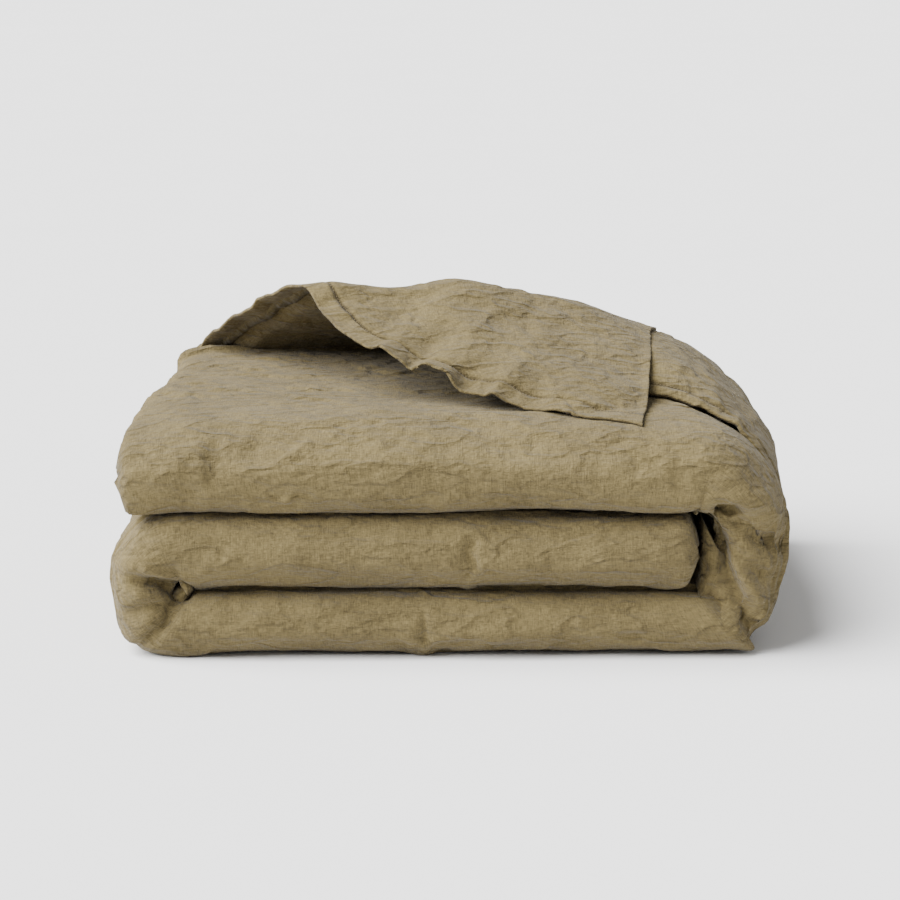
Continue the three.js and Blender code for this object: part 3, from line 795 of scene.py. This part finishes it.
def make_wrap(below):
    """The turned-over layer where it lies over the right bend: a padded sheet with a puckered side seam in front."""
    across = 90
    front = curve_through(WRAP_FRONT, across)
    crest = curve_through(WRAP_CREST, across)
    back = curve_through(WRAP_BACK, across)
    rows = 110
    t = np.linspace(0, 1, rows)[:, None, None]
    grid = (1 - t) ** 2 * back + 2 * t * (1 - t) * (2 * crest - 0.5 * (front + back)) + t**2 * front
    normals = grid_normals(grid)
    flat = grid.reshape(-1, 3)
    n = normals.reshape(-1, 3)
    gap, along = distance_to(flat, front)
    seam = np.abs(gap - WRAP_SEAM)
    swell = 0.003 * noise(flat, 0.07, 4) + 0.0014 * (ridged(flat, (0.03, 0.05, 0.03), 1) - 0.4)
    channel = -0.0026 * np.exp(-((seam / 0.0026) ** 2))
    gathers = noise_along(along, gap * 0.3, 0.013, 2)
    pucker = 0.0022 * gathers * np.exp(-((seam / 0.012) ** 2))
    fringe = 0.0018 * noise_along(along, 0, 0.02, 4) * np.exp(-gap / 0.012)
    flat = flat + n * (swell + channel + pucker + fringe)[:, None]
    flat = crinkled(flat, n, flat[:, :2], 40, 0.6, 14)
    grid = flat.reshape(grid.shape)
    thick = 0.004 + 0.010 * smooth(gap.reshape(grid.shape[:2]), 0.015, 0.05)
    over = grid[..., 0] < BEND_RIGHT + 0.01
    grid[..., 2] = np.where(over, np.maximum(grid[..., 2], height_at(below, grid) + thick), grid[..., 2])
    normals = grid_normals(grid)
    # The last argument, high along the side seam's stitch line, is the mask for the painted shade there.
    return shell("turned_over_wrap", grid, thick, normals, np.exp(-((seam / 0.0022) ** 2))), grid, normals, gap, along


# ---- Seams and buttons ----


def seam_line(grid, normals, gap, along, distance, start, end, step):
    """Points every step along the seam that lies the given distance in from the edge, with their normals."""
    flat, n = grid.reshape(-1, 3), normals.reshape(-1, 3)
    spots = np.arange(start, end, step)
    at, up = [], []
    for spot in spots:
        weight = np.exp(-((gap - distance) ** 2 + (along - spot) ** 2) / (2 * 0.0017**2))
        at.append((weight[:, None] * flat).sum(axis=0) / max(weight.sum(), 1e-12))
        up.append((weight[:, None] * n).sum(axis=0))
    return np.array(at), unit(np.array(up))


def stitch_tool():
    """Geometry nodes that lay a stitch at each point, turned along the seam."""
    tool = bpy.data.node_groups.new("lay_stitches", "GeometryNodeTree")
    tool.interface.new_socket("Geometry", in_out="INPUT", socket_type="NodeSocketGeometry")
    length = tool.interface.new_socket("Stitch Length", in_out="INPUT", socket_type="NodeSocketFloat")
    width = tool.interface.new_socket("Thread Width", in_out="INPUT", socket_type="NodeSocketFloat")
    stray = tool.interface.new_socket("Stray", in_out="INPUT", socket_type="NodeSocketFloat")
    seed = tool.interface.new_socket("Seed", in_out="INPUT", socket_type="NodeSocketInt")
    finish = tool.interface.new_socket("Material", in_out="INPUT", socket_type="NodeSocketMaterial")
    tool.interface.new_socket("Geometry", in_out="OUTPUT", socket_type="NodeSocketGeometry")

    def node(kind, settings, inputs):
        made = tool.nodes.new(kind)
        for key, value in settings.items():
            setattr(made, key, value)
        for key, value in inputs.items():
            if isinstance(value, bpy.types.NodeSocket):
                tool.links.new(value, made.inputs[key])
            else:
                made.inputs[key].default_value = value
        return made

    given = node("NodeGroupInput", {}, {})
    bead = node("GeometryNodeMeshUVSphere", {}, {"Segments": 6, "Rings": 5, "Radius": 0.5})
    way = node("GeometryNodeInputNamedAttribute", {"data_type": "FLOAT_VECTOR"}, {"Name": "way"})
    up = node("GeometryNodeInputNamedAttribute", {"data_type": "FLOAT_VECTOR"}, {"Name": "up"})
    lean = node(
        "FunctionNodeRandomValue",
        {"data_type": "FLOAT"},
        {2: -1.0, 3: 1.0, "Seed": given.outputs["Seed"]},
    )
    off = node("ShaderNodeMath", {"operation": "MULTIPLY"}, {0: lean.outputs[1], 1: given.outputs["Stray"]})
    side = node("ShaderNodeVectorMath", {"operation": "CROSS_PRODUCT"}, {0: way.outputs[0], 1: up.outputs[0]})
    swing = node("ShaderNodeVectorMath", {"operation": "SCALE"}, {0: side.outputs[0], "Scale": off.outputs[0]})
    turned_way = node("ShaderNodeVectorMath", {"operation": "ADD"}, {0: way.outputs[0], 1: swing.outputs[0]})
    turn = node(
        "FunctionNodeAxesToRotation",
        {"primary_axis": "X", "secondary_axis": "Z"},
        {0: turned_way.outputs[0], 1: up.outputs[0]},
    )
    size = node(
        "ShaderNodeCombineXYZ",
        {},
        {0: given.outputs["Stitch Length"], 1: given.outputs["Thread Width"], 2: given.outputs["Thread Width"]},
    )
    laid = node(
        "GeometryNodeInstanceOnPoints",
        {},
        {
            "Points": given.outputs["Geometry"],
            "Instance": bead.outputs[0],
            "Rotation": turn.outputs[0],
            "Scale": size.outputs[0],
        },
    )
    real = node("GeometryNodeRealizeInstances", {}, {0: laid.outputs[0]})
    faced = node("GeometryNodeSetMaterial", {}, {0: real.outputs[0], "Material": given.outputs["Material"]})
    node("NodeGroupOutput", {}, {0: faced.outputs[0]})
    names = {"length": length, "width": width, "stray": stray, "seed": seed, "finish": finish}
    return tool, {key: socket.identifier for key, socket in names.items()}


def stitched(name, tool, sockets, at, up, finish):
    """A row of stitches as a plain mesh."""
    mesh = bpy.data.meshes.new(name + "_points")
    mesh.from_pydata([tuple(p) for p in at + up * 0.0002], [], [])
    for key, values in (("way", unit(np.gradient(at, axis=0))), ("up", up)):
        layer = mesh.attributes.new(key, "FLOAT_VECTOR", "POINT")
        layer.data.foreach_set("vector", values.ravel())
    seam = bpy.data.objects.new(name + "_points", mesh)
    bpy.context.scene.collection.objects.link(seam)
    sewing = seam.modifiers.new("sewing", "NODES")
    sewing.node_group = tool
    sewing[sockets["length"]] = 0.0027
    sewing[sockets["width"]] = 0.0008
    sewing[sockets["stray"]] = 0.12
    sewing[sockets["seed"]] = 5
    sewing[sockets["finish"]] = finish
    graph = bpy.context.evaluated_depsgraph_get()
    plain = bpy.data.meshes.new_from_object(seam.evaluated_get(graph))
    seam.modifiers.clear()
    bpy.data.objects.remove(seam)
    bpy.data.meshes.remove(mesh)
    for key in ("way", "up"):
        if key in plain.attributes:
            plain.attributes.remove(plain.attributes[key])
    plain.name = name
    plain.polygons.foreach_set("use_smooth", [True] * len(plain.polygons))
    piece = bpy.data.objects.new(name, plain)
    bpy.context.scene.collection.objects.link(piece)
    return piece


def shape_of(model):
    """The points and faces of a modelled part, where it stands, with its loose triangles joined."""
    source = bpy.data.objects[model]
    flat = np.empty(3 * len(source.data.vertices))
    source.data.vertices.foreach_get("co", flat)
    world = np.array(source.matrix_world)
    points = flat.reshape(-1, 3) @ world[:3, :3].T + world[:3, 3]
    _, kept, joined = np.unique(np.round(points, 6), axis=0, return_index=True, return_inverse=True)
    joined = joined.ravel()
    faces = [tuple(int(joined[k]) for k in polygon.vertices) for polygon in source.data.polygons]
    return points[kept], [face for face in faces if len(set(face)) == len(face)]


def button_at(name, model, at, up, way):
    """A button like the model, lying flat at a place on the cloth."""
    points, faces = shape_of(model)
    around = points - (points.max(axis=0) + points.min(axis=0)) / 2
    _, _, axes = np.linalg.svd(around - around.mean(axis=0), full_matrices=False)
    if np.linalg.det(axes) < 0:
        axes[2] *= -1
    return mesh_object(name, (around @ axes.T) @ np.stack([way, np.cross(up, way), up]) + at, faces)


def cord_at(name, model, shift):
    """A cord like the model, a little further inside the cover."""
    points, faces = shape_of(model)
    return mesh_object(name, points + shift, faces)


# ---- Materials ----


class Value:
    """A number or socket in a shader, so that sums read as sums."""

    def __init__(self, maker, socket):
        self.maker = maker
        self.socket = socket

    def combine(self, operation, first, second):
        return self.maker.node("ShaderNodeMath", {"operation": operation}, {0: first, 1: second}, 0)

    def __add__(self, other):
        return self.combine("ADD", self, other)

    def __radd__(self, other):
        return self.combine("ADD", other, self)

    def __sub__(self, other):
        return self.combine("SUBTRACT", self, other)

    def __rsub__(self, other):
        return self.combine("SUBTRACT", other, self)

    def __mul__(self, other):
        return self.combine("MULTIPLY", self, other)

    def __rmul__(self, other):
        return self.combine("MULTIPLY", other, self)

    def __truediv__(self, other):
        return self.combine("DIVIDE", self, other)

    def __pow__(self, other):
        return self.combine("POWER", self, other)

    def __abs__(self):
        return self.combine("ABSOLUTE", self, 0.0)

    def at_least(self, other):
        return self.combine("MAXIMUM", self, other)


class Finish:
    """A material and the nodes in it."""

    def __init__(self, name):
        self.material = bpy.data.materials.new(name)
        self.material.use_nodes = True
        self.tree = self.material.node_tree
        self.tree.nodes.clear()
        self.output = self.tree.nodes.new("ShaderNodeOutputMaterial")

    def node(self, kind, settings, inputs, output):
        made = self.tree.nodes.new(kind)
        for key, value in settings.items():
            setattr(made, key, value)
        for key, value in inputs.items():
            self.feed(made.inputs[key], value)
        return Value(self, made.outputs[output])

    def feed(self, socket, value):
        if isinstance(value, Value):
            self.tree.links.new(value.socket, socket)
        else:
            socket.default_value = value

    def stretched(self, vector, scale):
        return self.node("ShaderNodeVectorMath", {"operation": "MULTIPLY"}, {0: vector, 1: scale}, 0)

    def grain(self, vector, scale, detail=2.0, roughness=0.5):
        inputs = {"Vector": vector, "Scale": scale, "Detail": detail, "Roughness": roughness}
        return self.node("ShaderNodeTexNoise", {}, inputs, "Fac")

    def between(self, factor, first, second):
        made = self.tree.nodes.new("ShaderNodeMix")
        made.data_type = "RGBA"
        self.feed(made.inputs[0], factor)
        for index, value in ((6, first), (7, second)):
            self.feed(made.inputs[index], value if isinstance(value, Value) else (*value, 1))
        return Value(self, made.outputs[2])

    def bump(self, height, strength, distance):
        return self.node("ShaderNodeBump", {}, {"Height": height, "Strength": strength, "Distance": distance}, 0)

    def surface(self, **inputs):
        shader = self.tree.nodes.new("ShaderNodeBsdfPrincipled")
        for key, value in inputs.items():
            self.feed(shader.inputs[key.replace("_", " ")], value)
        self.tree.links.new(shader.outputs[0], self.output.inputs[0])
        return self.material


LINEN_LIGHT = (0.156, 0.120, 0.050)
LINEN_DARK = (0.060, 0.0445, 0.0165)


def linen(name, light, dark, seam_shade=False):
    """Washed linen: slubby yarns both ways, a plain weave, soft crinkles and an uneven dye, with painted shade along
    the crease lines and, where asked for, painted shade along the seam.
    """
    cloth = Finish(name)
    place = cloth.node("ShaderNodeUVMap", {"uv_map": "cloth"}, {}, 0)
    body = cloth.node("ShaderNodeTexCoord", {}, {}, "Object")
    warp = cloth.grain(cloth.stretched(place, (820, 150, 820)), 1.0, 2.0)
    weft = cloth.grain(cloth.stretched(place, (150, 820, 820)), 1.0, 2.0)
    slub = cloth.grain(cloth.stretched(place, (420, 34, 420)), 1.0, 2.0)
    cross = cloth.grain(cloth.stretched(place, (34, 420, 420)), 1.0, 2.0)
    dye = cloth.grain(body, 14.0, 3.0)
    crinkle = cloth.grain(cloth.stretched(body, (60, 95, 110)), 1.0, 3.0, 0.6)
    rumple = cloth.grain(cloth.stretched(body, (16, 26, 34)), 1.0, 3.0, 0.5)
    line = cloth.grain(cloth.stretched(body, (14, 30, 38)), 1.0, 2.0, 0.5)
    crease = (1 - abs(line - 0.5) * 14).at_least(0.0)
    short_line = cloth.grain(cloth.stretched(body, (34, 50, 62)), 1.0, 2.0, 0.5)
    short_crease = (1 - abs(short_line - 0.5) * 10).at_least(0.0)
    yarn = (warp + weft) * 0.5
    thick = (slub + cross) * 0.5
    # The weave, slubs and dye give the cloth's own tone. The crease lines also darken the colour a little, which is
    # painted shade in the creases.
    shade = yarn * 2.2 + thick * 0.6 + dye * 0.7 - crease * 0.14 - 1.25
    colour = cloth.between(shade, dark, light)
    # Painted shade along the stitch line: the seam mask darkens the colour towards a deeper brown, standing in for the
    # shadow in the pulled-in channel.
    if seam_shade:
        seam_shade_mask = cloth.node("ShaderNodeAttribute", {"attribute_name": "seam"}, {}, "Fac")
        colour = cloth.between(seam_shade_mask * 0.75, colour, tuple(0.45 * channel for channel in dark))
    relief = yarn * 0.6 + thick * 0.3 + crinkle * 1.8 + rumple * 5.0 + crease * 0.8 + short_crease * 0.2
    normal = cloth.bump(relief, 1.0, 0.0020)
    rough = 0.86 + dye * 0.1
    return cloth.surface(
        Base_Color=colour,
        Roughness=rough,
        Normal=normal,
        Specular_IOR_Level=0.18,
        Sheen_Weight=0.07,
        Sheen_Roughness=0.6,
    )


def sewing_thread():
    thread = Finish("sewing_thread")
    place = thread.node("ShaderNodeTexCoord", {}, {}, "Object")
    twist = thread.grain(place, 2600.0, 2.0)
    colour = thread.between(twist, (0.07, 0.05, 0.02), (0.16, 0.12, 0.055))
    return thread.surface(Base_Color=colour, Roughness=0.75, Normal=thread.bump(twist, 0.5, 0.0002))


def cotton_cord():
    cord = Finish("cotton_cord")
    place = cord.node("ShaderNodeTexCoord", {}, {}, "Object")
    twist = cord.grain(place, 1400.0, 2.0)
    colour = cord.between(twist, (0.10, 0.073, 0.030), (0.20, 0.15, 0.07))
    return cord.surface(Base_Color=colour, Roughness=0.9, Normal=cord.bump(twist, 0.6, 0.0003))


def coconut_shell():
    shell_finish = Finish("coconut_shell")
    place = shell_finish.node("ShaderNodeTexCoord", {}, {}, "Object")
    streaks = shell_finish.grain(shell_finish.stretched(place, (700, 180, 700)), 1.0, 3.0)
    colour = shell_finish.between(streaks, (0.06, 0.035, 0.018), (0.22, 0.13, 0.07))
    rough = 0.35 + streaks * 0.25
    return shell_finish.surface(Base_Color=colour, Roughness=rough, Normal=shell_finish.bump(streaks, 0.3, 0.0002))


# ---- The set ----


def paint(piece, material):
    piece.data.materials.clear()
    piece.data.materials.append(material)


def make_set():
    side = 40.0
    points = [(-side, -side, -0.0004), (side, -side, -0.0004), (side, side, -0.0004), (-side, side, -0.0004)]
    floor = mesh_object("floor", points, [(0, 1, 2, 3)])
    paper = Finish("paper_floor")
    place = paper.node("ShaderNodeTexCoord", {}, {}, "Object")
    colour = paper.between(paper.grain(place, 3.0, 2.0), (0.80, 0.80, 0.80), (0.83, 0.83, 0.83))
    paint(floor, paper.surface(Base_Color=colour, Roughness=0.9, Specular_IOR_Level=0.1))
    world = bpy.data.worlds.new("studio")
    world.use_nodes = True
    world.node_tree.nodes["Background"].inputs["Color"].default_value = (1.0, 1.0, 1.0, 1)
    world.node_tree.nodes["Background"].inputs["Strength"].default_value = 0.50
    bpy.context.scene.world = world
    for name, way, spread, power in (
        ("key", (-0.72, -0.22, 0.76), 60.0, 13.2),
        ("fill", (0.50, -0.75, 0.50), 60.0, 0.25),
    ):
        light = bpy.data.lights.new(name, "SUN")
        light.angle = math.radians(spread)
        light.energy = power
        lamp = bpy.data.objects.new(name, light)
        lamp.location = 2 * Vector(way)
        lamp.rotation_euler = Vector(way).to_track_quat("Z", "Y").to_euler()
        bpy.context.scene.collection.objects.link(lamp)


def make_camera():
    rise = math.radians(12.3)
    distance = 3.1
    view = bpy.data.cameras.new("camera")
    view.sensor_width = 36
    view.lens = 18 * distance / 0.4447
    view.clip_end = 60
    camera = bpy.data.objects.new("camera", view)
    target = Vector((-0.003, FRONT, 0.2170))
    camera.location = target + distance * Vector((0, -math.cos(rise), math.sin(rise)))
    camera.rotation_euler = (math.pi / 2 - rise, 0, 0)
    bpy.context.scene.collection.objects.link(camera)
    bpy.context.scene.camera = camera


make_camera()
make_set()

linen_face = linen("washed_linen", LINEN_LIGHT, LINEN_DARK)
# The same linen with painted shade along the stitch lines.
linen_seam_shade = linen("washed_linen_seam_shade", LINEN_LIGHT, LINEN_DARK, seam_shade=True)
shell_finish = coconut_shell()
stack = make_stack()
top = make_top()
below = height_map(top)
turned, turned_grid, turned_normals, hem_gap, hem_along = make_turned_over(below)
wrap, wrap_grid, wrap_normals, wrap_gap, wrap_along = make_wrap(below)

thread_finish = sewing_thread()
tool, sockets = stitch_tool()
hem_length = hem_along.max()
at, up = seam_line(turned_grid, turned_normals, hem_gap, hem_along, HEM_BAND, 0.004, hem_length - 0.012, 0.0036)
hem_stitches = stitched("hem_stitches", tool, sockets, at, up, thread_finish)
at, up = seam_line(wrap_grid, wrap_normals, wrap_gap, wrap_along, WRAP_SEAM, 0.004, wrap_along.max() - 0.004, 0.0038)
side_stitches = stitched("turned_side_stitches", tool, sockets, at, up, thread_finish)

flap_start = hem_along[(turned_grid[..., 1].ravel() < 0.0) & (hem_gap < 0.006)].min()
for number in range(1, 5):
    spot = flap_start + (hem_length - flap_start) * (0.16 + 0.22 * (number - 1))
    at, up = seam_line(turned_grid, turned_normals, hem_gap, hem_along, 0.012, spot - 0.002, spot + 0.003, 0.002)
    way = unit(at[-1] - at[0])
    up = unit(up[1] - way * (up[1] @ way))
    button = button_at(f"hem_button_{number}", f"button_{number}", at[1] - up * 0.0048, -up, way)
    paint(button, shell_finish)
    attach(button, "flap")
    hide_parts(f"button_{number}")

# The turned-over layer and the wrap take the linen with painted shade along their seams.
for piece in (stack, top, turned, wrap):
    paint(piece, linen_seam_shade if piece in (turned, wrap) else linen_face)

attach(stack, "stack")
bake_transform(top)
ridge_way = Vector(RIDGE["axis"])
ahead = ridge_way.cross(Vector((0, 0, 1))).normalized()
ahead = ahead if ahead.y < 0 else -ahead
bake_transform(turned)
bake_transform(hem_stitches)
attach(wrap, "top_run")
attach(side_stitches, "top_run")

nodes = list(frame["nodes"])
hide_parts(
    *[n for n in nodes if n.endswith(("bottom_run", "middle_run", "left_bend")) or n == "head_end_seam"],
)
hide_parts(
    *[n for n in nodes if n.endswith(("top_run", "right_bend")) or n == "opening_hem"],
)
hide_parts(*[n for n in nodes if n.startswith("flap_")], "turnover_face_panel", "turnover_lining_panel",
            "turnover_hem_facing", "turnover_ridge_fold", "insert_turnover")
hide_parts("turnover_wrap_panel", "insert_turnover_wrap", "side_seam_turnover")

cord_finish = cotton_cord()
for corner, body, shift in (
    ("foot_inner", "top_run", (0.040, -0.040, -0.002)),
    ("head_inner", "stack", (-0.030, -0.040, 0.0)),
    ("head_outer", "stack", (-0.030, -0.040, 0.0)),
):
    for kind, short in (("cover_tie", "tie"), ("insert_loop", "loop")):
        cord = cord_at(f"corner_{short}_{corner}", f"{kind}_{corner}", shift)
        paint(cord, cord_finish)
        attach(cord, body)
        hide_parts(f"{kind}_{corner}")
